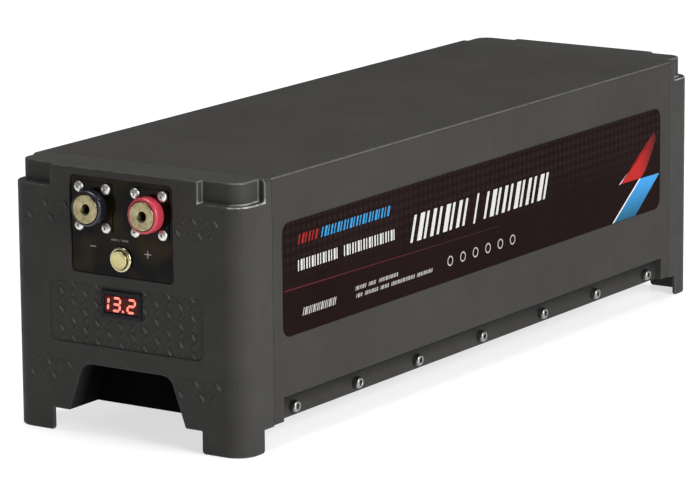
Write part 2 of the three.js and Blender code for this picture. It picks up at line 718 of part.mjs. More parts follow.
// From the control board up over the end plate to the first busbar.
function packNegativeLead() {
  const x = -2 * LEAD_PLACES.padX;
  const face = BOARD_FRONT - GAP;
  const bar = cellCentre(0.5);
  const { padZ, ceiling } = LEAD_PLACES;
  return lead([
    [x, face, padZ],
    [x, face - 8, padZ],
    [x, face - 17, padZ + 3],
    [x, face - 23, padZ + 19],
    [x + 1, face - 14, ceiling - 12],
    [x + 2, face + 10, ceiling],
    [x + 3, face + 38, ceiling + 3],
    [x + 4, bar - 6, ceiling - 2],
    ...landing(bar),
  ]);
}

function addControls() {
  add('bms_board', controlBoard(), LOOKS.boardGreen);
  add('bms_heatsink', heatsink(), LOOKS.aluminium);
  add('positive_lead', positiveLead(), LOOKS.redLead);
  add('negative_lead', negativeLead(), LOOKS.blackLead);
  add('pack_negative_lead', packNegativeLead(), LOOKS.blackLead);
}

addEndCaps();
addCase();
addTerminals();
addButton();
addVoltmeter();
addCellStack();
addControls();

export default battery;
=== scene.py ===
"""Looks for the slim deep cycle battery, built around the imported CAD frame. Metres throughout.

The CAD nodes give every place and size. The larger ones are copied here with their edges rounded,
and the small turned pieces, the tread pattern and the label's print are built in mesh code.
"""

import json
import math

import bmesh
import bpy
from mathutils import Matrix, Vector


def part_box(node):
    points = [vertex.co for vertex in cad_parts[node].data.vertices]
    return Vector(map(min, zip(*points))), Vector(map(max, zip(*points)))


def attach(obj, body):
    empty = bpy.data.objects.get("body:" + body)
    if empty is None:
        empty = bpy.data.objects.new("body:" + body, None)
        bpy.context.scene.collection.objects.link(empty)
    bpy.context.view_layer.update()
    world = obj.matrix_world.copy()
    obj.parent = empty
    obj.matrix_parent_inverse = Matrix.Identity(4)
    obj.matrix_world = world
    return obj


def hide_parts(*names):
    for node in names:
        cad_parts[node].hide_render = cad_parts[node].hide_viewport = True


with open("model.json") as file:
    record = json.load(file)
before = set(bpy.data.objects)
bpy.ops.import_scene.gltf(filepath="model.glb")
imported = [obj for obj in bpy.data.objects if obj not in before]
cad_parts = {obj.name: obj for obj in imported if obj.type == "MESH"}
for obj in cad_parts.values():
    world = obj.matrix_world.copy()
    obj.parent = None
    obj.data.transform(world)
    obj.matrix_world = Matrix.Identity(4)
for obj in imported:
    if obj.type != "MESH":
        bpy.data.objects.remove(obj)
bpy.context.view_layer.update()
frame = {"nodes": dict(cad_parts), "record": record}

MM = 0.001
CASE_BODY = "case"
BUTTON_BODY = "power_button"

# ---- Places read from the frame ----

FRONT_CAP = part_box("front_end_cap")
REAR_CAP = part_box("rear_end_cap")
FRONT = FRONT_CAP[0].y
REAR = REAR_CAP[1].y
HALF_LENGTH = (REAR - FRONT) / 2
HALF_WIDTH = FRONT_CAP[1].x
TOP = FRONT_CAP[1].z
SEAM_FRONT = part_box("cover_sleeve")[0].y
SOCKET_HEAD = 4.6 * MM    # how far the side screws' heads stand out
STRIP_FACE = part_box("side_screw_right_1")[1].x - SOCKET_HEAD


def centre(node):
    low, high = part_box(node)
    return (low + high) / 2


def front_to_back(node):
    """A node's length along the case."""
    low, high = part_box(node)
    return high.y - low.y


# ---- Meshes ----

def cad_copy(node):
    """A CAD node's mesh with its corners welded and its flat faces made whole."""
    mesh = bmesh.new()
    mesh.from_mesh(frame["nodes"][node].data)
    bmesh.ops.remove_doubles(mesh, verts=mesh.verts, dist=0.001 * MM)
    flat = math.radians(0.5)
    bmesh.ops.dissolve_limit(mesh, angle_limit=flat, verts=mesh.verts, edges=mesh.edges)
    return mesh


def round_edges(mesh, width, chosen, segments=3, material=-1):
    """Rounds the sharp edges whose middle point passes the test chosen. material is for the new faces."""
    limit = math.radians(35)
    edges = []
    for edge in mesh.edges:
        middle = (edge.verts[0].co + edge.verts[1].co) / 2
        if len(edge.link_faces) == 2 and edge.calc_face_angle() > limit and chosen(middle):
            edges.append(edge)
    bmesh.ops.bevel(
        mesh, geom=edges, affect="EDGES", offset=width, offset_type="OFFSET", segments=segments,
        profile=0.5, clamp_overlap=True, material=material,
    )


def corner_normals(mesh, smooth_angle):
    """A normal for each face corner, led by the largest faces that meet there without a sharp edge."""
    mesh.normal_update()
    limit = math.cos(math.radians(smooth_angle))
    weights = {face: (face.calc_area() / MM ** 2) ** 2 for face in mesh.faces}
    normals = []
    for face in mesh.faces:
        for corner in face.loops:
            total = Vector()
            for near in corner.vert.link_faces:
                if near.normal.dot(face.normal) > limit:
                    total += near.normal * weights[near]
            normals.append(total.normalized())
    return normals


def to_mesh(name, mesh, smooth_angle=50):
    """Turns a bmesh into mesh data, smooth but for its sharp edges."""
    normals = corner_normals(mesh, smooth_angle)
    data = bpy.data.meshes.new(name)
    mesh.to_mesh(data)
    mesh.free()
    data.shade_smooth()
    data.normals_split_custom_set(normals)
    return data


def add_prism(mesh, low_places, high_places):
    """A closed solid between two outlines that have the same number of points."""
    low = [mesh.verts.new(place) for place in low_places]
    high = [mesh.verts.new(place) for place in high_places]
    mesh.faces.new(high)
    mesh.faces.new(low[::-1])
    for one in range(len(low)):
        after = (one + 1) % len(low)
        mesh.faces.new([low[one], low[after], high[after], high[one]])


def add_raised(mesh, outline, y, rise):
    """A flat shape of (x, z) points that stands out to the front from the plane at y."""
    add_prism(mesh, [(x, y, z) for x, z in outline], [(x, y - rise, z) for x, z in outline])


def built_mesh(name, mesh, smooth_angle=50):
    """Mesh data from a bmesh that was made face by face, with its faces turned outwards."""
    bmesh.ops.recalc_face_normals(mesh, faces=mesh.faces)
    return to_mesh(name, mesh, smooth_angle)


def show(name, data):
    """Puts a new object in the scene."""
    shown = bpy.data.objects.new(name, data)
    bpy.context.scene.collection.objects.link(shown)
    return shown


def piece(name, data, looks, nodes=(), body=CASE_BODY, place=None):
    """Shows mesh data as one piece that rides on a body. looks is a material, or several in a tuple."""
    shown = show(name, data)
    if place is not None:
        shown.matrix_world = place
        bpy.context.view_layer.update()
    if not data.materials:
        for look in looks if isinstance(looks, tuple) else (looks,):
            data.materials.append(look)
    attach(shown, body)
    if nodes:
        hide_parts(*nodes)


def rounded_piece(name, node, looks, width, chosen=lambda p: True, segments=3):
    """Shows a copy of a CAD node with the chosen edges rounded, in the node's place."""
    mesh = cad_copy(node)
    round_edges(mesh, width, chosen, segments)
    piece(name, to_mesh(name, mesh), looks, [node])


def spun(rings, sides, closed=False):
    """A turned body about +Z. A ring is (radius, height), and a radius may be a function of the angle."""
    mesh = bmesh.new()
    loops = []
    for radius, height in rings:
        if radius == 0:
            loops.append([mesh.verts.new((0, 0, height))])
            continue
        loop = []
        for step in range(sides):
            angle = 2 * math.pi * step / sides
            reach = radius(angle) if callable(radius) else radius
            loop.append(mesh.verts.new((reach * math.cos(angle), reach * math.sin(angle), height)))
        loops.append(loop)
    if closed:
        loops.append(loops[0])
    for low, high in zip(loops, loops[1:]):
        for step in range(sides):
            after = (step + 1) % sides
            corners = [low[step % len(low)], low[after % len(low)]]
            corners += [high[after % len(high)], high[step % len(high)]]
            mesh.faces.new(list(dict.fromkeys(corners)))
    bmesh.ops.recalc_face_normals(mesh, faces=mesh.faces)
    return mesh


def arc(centre_radius, centre_height, radius, start, end, steps):
    """Profile points on an arc, with its angles in degrees from the outward direction."""
    points = []
    for step in range(steps + 1):
        angle = math.radians(start + (end - start) * step / steps)
        points.append((centre_radius + radius * math.cos(angle), centre_height + radius * math.sin(angle)))
    return points


def facing_front(x, y, z):
    """Places a turned piece with its +Z axis to the front, which is -Y."""
    return Matrix.Translation((x, y, z)) @ Matrix.Rotation(math.pi / 2, 4, "X")


def front_of(node):
    """Places a turned piece with its height 0 at the front of a node."""
    middle = centre(node)
    return facing_front(middle.x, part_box(node)[0].y, middle.z)


def facing_side(sign, x, y, z):
    """Places a turned piece with its +Z axis to +X, or to -X when the sign is -1."""
    return Matrix.Translation((x, y, z)) @ Matrix.Rotation(sign * math.pi / 2, 4, "Y")


# ---- Materials ----

LEDGE_TOP = 34 * MM       # the top of the pressed-in strip along the cover's sides
LATHE_FEED = 0.35 * MM    # how far apart the fine rings of a turned face lie

# The stepped-in top corners of a cap, in the cap's own places
REBATE = {"start": 63 * MM, "end": 28 * MM, "inset": 5.5 * MM, "ledge": 174.5 * MM, "turn": 8 * MM}


def fill(node, **values):
    """Constants on a node's sockets, with _ for each space in a socket's name."""
    for name, value in values.items():
        node.inputs[name.replace("_", " ")].default_value = value
    return node


class Look:
    """A procedural material, with its nodes placed in the object's own coordinates."""

    def __init__(self, name, roughness=0.5, metallic=0.0, specular=0.5):
        self.material = bpy.data.materials.new(name)
        self.material.use_nodes = True
        self.tree = self.material.node_tree
        self.shader = self.tree.nodes["Principled BSDF"]
        fill(self.shader, Roughness=roughness, Metallic=metallic, Specular_IOR_Level=specular)
        self.coords = self.node("TexCoord").outputs["Object"]
        self.height = None

    def node(self, kind):
        return self.tree.nodes.new(f"ShaderNode{kind}")

    def link(self, output, socket):
        self.tree.links.new(output, socket)

    def read(self, kind, output, coords=None, **values):
        """An output of a new node that takes the object's coordinates, or others."""
        node = fill(self.node(kind), **values)
        self.link(coords or self.coords, node.inputs["Vector"])
        return node.outputs[output]

    def stretched(self, scale):
        """Coordinates that draw a texture out along the axes whose scale is small."""
        return self.read("Mapping", "Vector", Scale=scale)

    def noise(self, size, detail=3.0, coords=None):
        """Noise whose features are about size metres across."""
        return self.read("TexNoise", "Fac", coords, Scale=1 / size, Detail=detail, Roughness=0.55)

    def cells(self, size, randomness=1.0):
        """The distance to the nearest of many points that lie about size metres apart."""
        return self.read("TexVoronoi", "Distance", Scale=1 / size, Randomness=randomness)

    def place(self, axis):
        """How far along one of the object's axes a point lies, in metres."""
        return self.read("SeparateXYZ", axis)

    def combine(self, operation, first, second=None):
        """The result of one arithmetic node."""
        node = self.node("Math")
        node.operation = operation
        self.link(first, node.inputs[0])
        if second is not None:
            self.link(second, node.inputs[1])
        return node.outputs[0]

    def spread(self, value, low, high, to_low=0.0, to_high=1.0):
        """Stretches the range from low to high over the range from to_low to to_high."""
        node = fill(self.node("MapRange"), From_Min=low, From_Max=high, To_Min=to_low, To_Max=to_high)
        self.link(value, node.inputs["Value"])
        return node.outputs["Result"]

    def blend(self, factor, first, second):
        """A colour between two colours. Each is a tuple or another colour output."""
        node = self.node("Mix")
        node.data_type = "RGBA"
        self.link(factor, node.inputs["Factor"])
        for socket, colour in ((node.inputs[6], first), (node.inputs[7], second)):
            if isinstance(colour, tuple):
                socket.default_value = (*colour, 1)
            else:
                self.link(colour, socket)
        return node.outputs[2]

    def mottle(self, size, dark, light, margin=0.3):
        """A colour that wanders between two. A wider margin leaves larger plain patches of each."""
        return self.blend(self.spread(self.noise(size), margin, 1 - margin), dark, light)

    def colour(self, output):
        self.link(output, self.shader.inputs["Base Color"])

    def rough(self, size, least, most):
        """Roughness that wanders between two values, in patches about size metres across."""
        self.link(self.spread(self.noise(size), 0.3, 0.7, least, most), self.shader.inputs["Roughness"])

    def bump(self, height, depth, strength):
        """Raises the surface by up to depth metres."""
        node = fill(self.node("Bump"), Strength=strength, Distance=depth)
        self.link(height, node.inputs["Height"])
        if self.height is not None:
            self.link(self.height, node.inputs["Normal"])
        self.height = node.outputs["Normal"]
        self.link(self.height, self.shader.inputs["Normal"])


def grey(level, warm=0.0):
    """A grey that is as bright as level, and a little red where warm is above 0."""
    return (level * (1 + warm), level, level * (1 - 1.5 * warm))


def moulded_plastic(name, wear_and_glint=0.0):
    """Fine-grained plastic, with patches of a paler grey blended in from 0 for none to 1: wear on the caps'
    rounded edges, and wear with a painted glint on the tread crests.
    """
    look = Look(name, specular=0.1)
    base = look.mottle(30 * MM, grey(0.0302, 0.03), grey(0.0345, 0.03), 0.35)
    speck = look.spread(look.noise(0.9 * MM, detail=1.0), 0.5, 0.7, 0.0, 0.4)
    base = look.blend(speck, base, grey(0.055, 0.03))
    if wear_and_glint > 0:
        patch = look.spread(look.noise(6 * MM), 0.35, 0.65, 0.2 * wear_and_glint, wear_and_glint)
        base = look.blend(patch, base, grey(0.075, 0.03))
    look.colour(base)
    look.rough(8 * MM, 0.5, 0.64)
    look.bump(look.cells(1.3 * MM), 0.1 * MM, 0.5)
    look.bump(look.noise(0.5 * MM, detail=2.0), 0.04 * MM, 0.4)
    return look.material


def painted_rim_highlight():
    """Painted highlight on the rims of the cap's corner rebates: a pale, glossier plastic, brightest near
    the ledge.
    """
    look = Look("painted_rim_highlight", specular=0.3)
    # The colour is painted highlight, strongest at the ledge and fading over 4 mm above it
    rise = look.spread(look.place("Z"), REBATE["ledge"], REBATE["ledge"] + 4 * MM)
    highlight_fade = look.blend(rise, grey(0.3, 0.02), grey(0.09, 0.02))
    patch = look.spread(look.noise(4 * MM), 0.35, 0.65, 0.0, 0.8)
    look.colour(look.blend(patch, highlight_fade, grey(0.07, 0.02)))
    look.rough(3 * MM, 0.26, 0.4)
    look.bump(look.noise(0.6 * MM), 0.03 * MM, 0.4)
    return look.material


def painted_hand_hold_shade():
    """Painted shade for the inside of the hand holds: near-black plastic that turns darker away from the
    ends of the case, where less light reaches.
    """
    look = Look("painted_hand_hold_shade", specular=0.03)
    along = look.combine("ABSOLUTE", look.spread(look.place("Y"), FRONT, REAR, -1.0, 1.0))
    nearness = look.spread(along, 1 - 16 * MM / HALF_LENGTH, 1.0)
    look.colour(look.blend(nearness, grey(0.0015), grey(0.016)))
    look.rough(8 * MM, 0.75, 0.9)
    look.bump(look.cells(1.3 * MM), 0.1 * MM, 0.5)
    return look.material


def coated_metal(name, shaded=False):
    """Satin coating. With shaded set, painted shade darkens the strip under the ledge, most right below the
    ledge.
    """
    look = Look(name, specular=0.05)
    base = look.mottle(60 * MM, grey(0.0305, 0.035), grey(0.0348, 0.035), 0.35)
    speck = look.spread(look.noise(0.6 * MM, detail=1.0), 0.45, 0.75, 0.0, 0.3)
    base = look.blend(speck, base, grey(0.055, 0.03))
    if shaded:
        # Painted shade: the colour darkens towards the ledge above
        height = look.spread(look.place("Z"), LEDGE_TOP - 12 * MM, LEDGE_TOP, 0.12, 0.88)
        base = look.blend(height, base, grey(0.003))
    look.colour(base)
    look.rough(12 * MM, 0.52, 0.62)
    look.bump(look.noise(0.7 * MM, detail=2.0), 0.05 * MM, 0.45)
    return look.material


def painted_edge_highlight():
    """Painted highlight along the cover's long top edges: a paler, glossier coating than on its flat faces.
    """
    look = Look("painted_edge_highlight", specular=0.3)
    look.colour(look.mottle(8 * MM, grey(0.06, 0.03), grey(0.085, 0.03), 0.35))
    look.rough(12 * MM, 0.34, 0.42)
    look.bump(look.noise(0.7 * MM, detail=2.0), 0.04 * MM, 0.4)
    return look.material


def gloss_panel():
    """Glossy black, with brown clouds of painted reflection where the panel would mirror a room."""
    look = Look("gloss_panel", specular=0.1)
    cloud = look.spread(look.noise(22 * MM, detail=1.0), 0.4, 0.7)
    look.colour(look.blend(cloud, grey(0.001), (0.02, 0.0125, 0.003)))
    look.rough(4 * MM, 0.06, 0.13)
    look.bump(look.noise(14 * MM, detail=1.0), 0.08 * MM, 0.3)
    return look.material


def dark_frame():
    look = Look("dark_frame", roughness=0.3, specular=0.12)
    look.colour(look.blend(look.noise(3 * MM), (0.006, 0.006, 0.008), (0.01, 0.011, 0.014)))
    look.bump(look.noise(0.8 * MM), 0.02 * MM, 0.4)
    return look.material


def collar_plastic(name, dark, light, least_rough, most_rough, subsurface=0.0):
    look = Look(name)
    look.colour(look.blend(look.noise(3 * MM), dark, light))
    look.rough(2 * MM, least_rough, most_rough)
    look.bump(look.noise(0.8 * MM), 0.02 * MM, 0.4)
    fill(look.shader, Subsurface_Weight=subsurface, Subsurface_Scale=1.5 * MM)
    return look.material


def turned_metal(name, dark, light, least_rough, most_rough, stain=2.5 * MM):
    """Metal with the fine rings that a lathe leaves, about the piece's own +Z axis."""
    look = Look(name, metallic=1.0)
    look.colour(look.mottle(stain, dark, light))
    look.rough(1.2 * MM, least_rough, most_rough)
    rings = fill(look.node("TexWave"), Scale=1 / (2 * math.pi * LATHE_FEED), Distortion=0.4)
    rings.wave_type = "RINGS"
    rings.rings_direction = "Z"
    look.link(look.coords, rings.inputs["Vector"])
    look.bump(rings.outputs["Fac"], 0.012 * MM, 0.25)
    look.bump(look.noise(1.5 * MM), 0.02 * MM, 0.2)
    return look.material


def brushed_metal(name, dark, light, least_rough, most_rough, stretch):
    """Metal with fine streaks along the axis whose stretch is small."""
    look = Look(name, metallic=1.0)
    streaks = look.noise(0.5 * MM, detail=2.0, coords=look.stretched(stretch))
    look.colour(look.blend(look.spread(streaks, 0.3, 0.7), dark, light))
    look.rough(9 * MM, least_rough, most_rough)
    look.bump(streaks, 0.02 * MM, 0.4)
    return look.material


def meter_glass():
    look = Look("meter_face", roughness=0.12, specular=0.12)
    look.colour(look.blend(look.noise(6 * MM), (0.06, 0.003, 0.002), (0.09, 0.006, 0.004)))
    look.bump(look.noise(5 * MM), 0.02 * MM, 0.3)
    return look.material


def lit_segment():
    """The red of the meter's digits, which give light of their own."""
    look = Look("lit_segment", roughness=0.35)
    glow = look.blend(look.noise(1.5 * MM), (1.0, 0.17, 0.12), (1.0, 0.24, 0.18))
    look.colour(glow)
    look.link(glow, look.shader.inputs["Emission Color"])
    fill(look.shader, Emission_Strength=0.9)
    return look.material


def label_film():
    """Dark film with a faint pattern of small dots under its upper half."""
    look = Look("printed_label", specular=0.01)
    base = look.mottle(70 * MM, (0.0072, 0.0028, 0.0027), (0.0096, 0.0038, 0.0037))
    dots = look.spread(look.cells(6.5 * MM, randomness=0.0), 0.2, 0.55, 0.8, 0.0)
    upper = look.spread(look.place("Z"), 105 * MM, 135 * MM)
    look.colour(look.blend(look.combine("MULTIPLY", dots, upper), base, (0.0175, 0.0128, 0.0132)))
    look.rough(10 * MM, 0.36, 0.46)
    look.bump(look.noise(1.5 * MM), 0.02 * MM, 0.3)
    return look.material


def faded_ink(name, axis, low, high, first, last):
    """Ink whose colour runs from first to last between two places along the case's Y or Z axis."""
    look = Look(name, roughness=0.4, specular=0.03)
    ink = look.blend(look.spread(look.place(axis), low, high), first, last)
    thin = look.spread(look.noise(2 * MM), 0.3, 0.7, 0.0, 0.2)
    look.colour(look.blend(thin, ink, grey(0.0)))
    look.bump(look.noise(0.6 * MM), 0.01 * MM, 0.3)
    return look.material


def print_ink(name, dark, light):
    look = Look(name, roughness=0.45, specular=0.03)
    look.colour(look.mottle(2 * MM, dark, light))
    look.bump(look.noise(0.6 * MM), 0.01 * MM, 0.3)
    return look.material


def soft_material(name, dark, light, roughness, grain, depth):
    """Rubber, foam, film and board: a mottled colour with a matching grain."""
    look = Look(name, roughness=roughness, specular=0.3)
    look.colour(look.mottle(4 * grain, dark, light))
    look.rough(2 * grain, roughness - 0.08, roughness + 0.08)
    look.bump(look.cells(grain), depth, 0.5)
    return look.material


def floor_paint():
    """A pale light table: it glows a little, so that no dark shadow lies under the case."""
    look = Look("floor", specular=0.5)
    look.colour(look.blend(look.noise(0.8), grey(0.58), grey(0.6)))
    look.rough(0.3, 0.16, 0.2)
    fill(look.shader, Emission_Color=(1, 1, 1, 1), Emission_Strength=0.65)
    return look.material


PLASTIC = moulded_plastic("moulded_plastic")
WORN_PLASTIC = moulded_plastic("worn_plastic", wear_and_glint=0.7)
# Paler plastic for the tread crests: wear, and a painted glint
CREST_WEAR_AND_GLINT = moulded_plastic("crest_wear_and_glint", wear_and_glint=1.0)
RIM_HIGHLIGHT = painted_rim_highlight()
HAND_HOLD_SHADE = painted_hand_hold_shade()
COAT = coated_metal("coated_metal")
# A copy of the coating with painted shade on the strip under the ledge
SHADED_COAT = coated_metal("shaded_coat", shaded=True)
EDGE_HIGHLIGHT = painted_edge_highlight()
PANEL = gloss_panel()
METER_FRAME = dark_frame()
BLACK = collar_plastic("black_collar", (0.008, 0.008, 0.013), (0.014, 0.014, 0.022), 0.2, 0.32)
RED = collar_plastic("red_collar", (0.38, 0.028, 0.048), (0.47, 0.045, 0.072), 0.24, 0.36, 0.15)
BORE = turned_metal("dark_bore", (0.05, 0.04, 0.02), (0.1, 0.085, 0.05), 0.3, 0.45)
BRASS = turned_metal("terminal_brass", (0.23, 0.19, 0.1), (0.46, 0.4, 0.24), 0.24, 0.34, stain=5 * MM)
STEEL = turned_metal("screw_steel", (0.56, 0.55, 0.52), (0.74, 0.73, 0.7), 0.34, 0.46)
ZINC = turned_metal("zinc_steel", (0.22, 0.22, 0.215), (0.31, 0.31, 0.3), 0.28, 0.36)
BEZEL = turned_metal("button_steel", (0.43, 0.39, 0.25), (0.56, 0.52, 0.36), 0.18, 0.26)
GOLD = turned_metal("button_gold", (0.5, 0.44, 0.2), (0.62, 0.56, 0.29), 0.24, 0.32)
GLASS = meter_glass()
LIT = lit_segment()
FILM = label_film()
WHITE_INK = print_ink("white_ink", (0.42, 0.42, 0.41), (0.48, 0.48, 0.47))
GREY_INK = print_ink("grey_ink", (0.32, 0.31, 0.305), (0.38, 0.37, 0.365))
RED_INK = print_ink("red_ink", (0.19, 0.008, 0.009), (0.24, 0.012, 0.013))
BLUE_INK = print_ink("blue_ink", (0.02, 0.155, 0.36), (0.032, 0.24, 0.47))
PALE_INK = print_ink("pale_ink", (0.55, 0.52, 0.54), (0.7, 0.68, 0.7))
DIM_INK = print_ink("dim_ink", (0.1, 0.11, 0.115), (0.14, 0.15, 0.155))

RED_FADE = ((0.36, 0.014, 0.014), (0.03, 0.005, 0.005))
BLUE_FADE = ((0.009, 0.066, 0.104), (0.042, 0.25, 0.56))
LINE_FADE = ((0.062, 0.008, 0.01), (0.02, 0.006, 0.006))
FADED_RED = faded_ink("faded_red", "Y", FRONT + 538 * MM, FRONT + 566 * MM, *RED_FADE)
FADED_BLUE = faded_ink("faded_blue", "Z", 74 * MM, 101 * MM, *BLUE_FADE)
FADED_LINE = faded_ink("faded_line", "Y", FRONT + 60 * MM, FRONT + 330 * MM, *LINE_FADE)

# Each has a dark and a light colour, its roughness, its grain and the grain's depth
SOFT_FINISHES = {
    "cell_wrap": ((0.02, 0.1, 0.36), (0.03, 0.14, 0.44), 0.38, 2 * MM, 0.03 * MM),
    "foam_pad": (grey(0.018), grey(0.03), 0.85, 0.8 * MM, 0.1 * MM),
    "board_green": ((0.01, 0.07, 0.025), (0.014, 0.1, 0.035), 0.4, 1.2 * MM, 0.03 * MM),
    "red_lead": ((0.3, 0.012, 0.01), (0.38, 0.02, 0.016), 0.45, 1 * MM, 0.03 * MM),
    "black_lead": (grey(0.01), grey(0.018), 0.45, 1 * MM, 0.03 * MM),
}

# Each has a dark and a light colour, its least and most roughness, and how its streaks are drawn out
BRUSHED_FINISHES = {
    "busbar_copper": ((0.42, 0.17, 0.08), (0.58, 0.26, 0.13), 0.26, 0.38, (1, 0.04, 1)),
    "plate_aluminium": ((0.44, 0.45, 0.46), (0.6, 0.61, 0.62), 0.3, 0.42, (0.04, 1, 1)),
    "band_steel": (grey(0.32), grey(0.46), 0.3, 0.45, (1, 1, 0.04)),
}

# The material of each slot that the record names
SLOT_LOOKS = {
    "coated_metal": COAT,
    "moulded_plastic": PLASTIC,
    "gloss_panel": PANEL,
    "black_collar": BLACK,
    "red_collar": RED,
    "terminal_brass": BRASS,
    "screw_steel": STEEL,
    "button_steel": BEZEL,
    "button_gold": GOLD,
    "meter_face": GLASS,
    "printed_label": FILM,
}
SLOT_LOOKS.update({slot: soft_material(slot, *finish) for slot, finish in SOFT_FINISHES.items()})
SLOT_LOOKS.update({slot: brushed_metal(slot, *finish) for slot, finish in BRUSHED_FINISHES.items()})


# ---- End caps ----

CAP_DEPTH = SEAM_FRONT - FRONT
CAP_CORNER = {"radius": 16 * MM, "rebate_below_top": 20 * MM}
PANEL_BOX = {"x": 0, "half": 66 * MM, "bottom": 65 * MM, "top": 108.5 * MM, "depth": 1 * MM}
WINDOW_BOX = {"x": -2 * MM, "half": 43.8 * MM, "bottom": 116 * MM, "top": 184.5 * MM}
FOOT = {"inner": 63.5 * MM, "depth": 25 * MM, "height": 16 * MM}
HAND_HOLD = {"half": 51 * MM, "top": 51.5 * MM, "depth": 33.5 * MM}    # a little more than the opening
SKIN_ROUNDING = 1.1 * MM
TINY = 0.1 * MM


def to_cap(end, p):
    """From a world place to a cap's own: x to its right and y inwards from its face."""
    return Vector((p.x, p.y - FRONT, p.z)) if end == "front" else Vector((-p.x, REAR - p.y, p.z))


def from_cap(end, p):
    """From a cap's own place to a world place."""
    return Vector((p.x, p.y + FRONT, p.z)) if end == "front" else Vector((-p.x, REAR - p.y, p.z))


def in_box(p, box):
    """Whether a cap's place lies within a box on its face."""
    inside_x = abs(p.x - box["x"]) < box["half"] + TINY
    return inside_x and box["bottom"] - TINY < p.z < box["top"] + TINY


def is_crown_edge(p):
    """The cap's long top edges beside the cover, which share the cover's larger rounding."""
    return abs(p.x) > HALF_WIDTH - TINY and p.z > TOP - TINY and REBATE["end"] < p.y < CAP_DEPTH - TINY


def is_skin_edge(p):
    """Outer edges of the cap, apart from its joint with the cover and the shallow recesses."""
    if p.y > CAP_DEPTH - 1 * MM:
        return False
    across = abs(p.x)
    beside_rebate = p.y < REBATE["inset"] + REBATE["turn"] or across > HALF_WIDTH - REBATE["inset"] - TINY
    if across > REBATE["start"] - TINY and p.z > REBATE["ledge"] - TINY and beside_rebate:
        return True
    if p.z > TOP - TINY or p.z < FOOT["height"] + TINY or across > HALF_WIDTH - TINY:
        return True
    round_hand_hold = p.z < HAND_HOLD["top"] + 0.5 * MM and p.y < TINY
    in_corner = across > HALF_WIDTH - CAP_CORNER["radius"] and p.y < CAP_CORNER["radius"]
    return round_hand_hold or (in_corner and p.z > TOP - CAP_CORNER["rebate_below_top"])


def is_recess_edge(p):
    """The edges of the window and of the shallow panel, on the cap's face."""
    return p.y < PANEL_BOX["depth"] + TINY and (in_box(p, PANEL_BOX) or in_box(p, WINDOW_BOX))


def is_rebate_rim(p):
    """The rounded edges along a corner rebate."""
    past_start = abs(p.x) > REBATE["start"] - SKIN_ROUNDING
    return past_start and p.y < REBATE["end"] + SKIN_ROUNDING and p.z > REBATE["ledge"] - SKIN_ROUNDING


def is_hand_hold(p):
    """The walls of the hand hold, behind its rounded rim."""
    return abs(p.x) < HAND_HOLD["half"] and 0.6 * MM < p.y < HAND_HOLD["depth"] and p.z < HAND_HOLD["top"]


def is_foot_corner(p):
    """The inner lower corners of the feet."""
    on_corner = abs(abs(p.x) - FOOT["inner"]) < TINY or abs(p.y - FOOT["depth"]) < TINY
    return p.z < TINY and on_corner


# A cap's materials, in the order of the faces' numbers. The rim faces take a painted highlight and the dark
# faces painted shade.
PLAIN_FACE, RIM_FACE, DARK_FACE, ROUNDED_FACE = range(4)
CAP_LOOKS = (PLASTIC, RIM_HIGHLIGHT, HAND_HOLD_SHADE, WORN_PLASTIC)


def add_cap(end):
    """A cap with rounded edges, with a painted highlight on the rims of its right-hand rebates, painted
    shade inside its hand hold, and wear on most of the other rounded edges.
    """
    node = f"{end}_end_cap"
    mesh = cad_copy(node)
    round_edges(mesh, 3 * MM, lambda p: is_crown_edge(to_cap(end, p)), segments=5)
    round_edges(mesh, 2.6 * MM, lambda p: is_foot_corner(to_cap(end, p)), segments=5)
    round_edges(mesh, 0.45 * MM, lambda p: is_recess_edge(to_cap(end, p)))
    round_edges(mesh, SKIN_ROUNDING, lambda p: is_skin_edge(to_cap(end, p)), material=ROUNDED_FACE)
    for face in mesh.faces:
        place = to_cap(end, face.calc_center_median())
        # Faces inside the hand hold get painted shade
        if is_hand_hold(place):
            face.material_index = DARK_FACE
        # Rounded rim faces that face +X, where the side light falls, get a painted highlight
        elif face.material_index == ROUNDED_FACE and is_rebate_rim(place) and face.normal.x > 0.2:
            face.material_index = RIM_FACE
        elif abs(place.x) < HAND_HOLD["half"] and place.z < HAND_HOLD["top"] + SKIN_ROUNDING:
            face.material_index = PLAIN_FACE
    piece(f"{end}_cap_moulding", to_mesh(node, mesh), CAP_LOOKS, [node])


# ---- Tread pattern on the caps ----

# A bar's slant is in degrees. One that leans right is flatter than the others, by the share called low.
BAR = {"length": 7 * MM, "width": 3 * MM, "height": 1.1 * MM, "low": 0.4, "sunk": 0.25 * MM, "slant": 56}
BAR_STEPS = 8

# The first bar in the shallow panel, and the steps to the next column and row
TREAD = {"x": -55.3 * MM, "z": 68.1 * MM, "pitch_x": 10.22 * MM, "pitch_z": 6.63 * MM}
TREAD_COLUMNS = 12
TREAD_ROWS = 7
METER_MARGIN = 2 * MM

# The four clusters: the spacing in a row, the steps to the second row, and how far out bars may lie
CLUSTER = {"spacing": 9 * MM, "step_x": 13.6 * MM, "step_z": 9.4 * MM}
CLUSTER_REACH = (46 * MM, 81 * MM)
CLUSTER_X = (-80.6 * MM, 46.5 * MM)
CLUSTER_Z = (39.8 * MM, 152.7 * MM)

# The tread's materials, numbered in the same way. The crest faces take paler plastic: wear, and a painted
# glint.
BAR_FACE, CREST_FACE = range(2)
TREAD_LOOKS = (PLASTIC, CREST_WEAR_AND_GLINT)


def bar_section(t, height):
    """A bar's outline across itself, as (side, rise), at a share t of its half length from its middle."""
    half = BAR["width"] / 2 * math.sqrt(1 - t * t) ** 1.4
    crown = height * (1 - t ** 4)
    shoulder = 0.75 * crown
    root = -BAR["sunk"]
    return [(-half, root), (-0.6 * half, shoulder), (0, crown), (0.6 * half, shoulder), (half, root)]


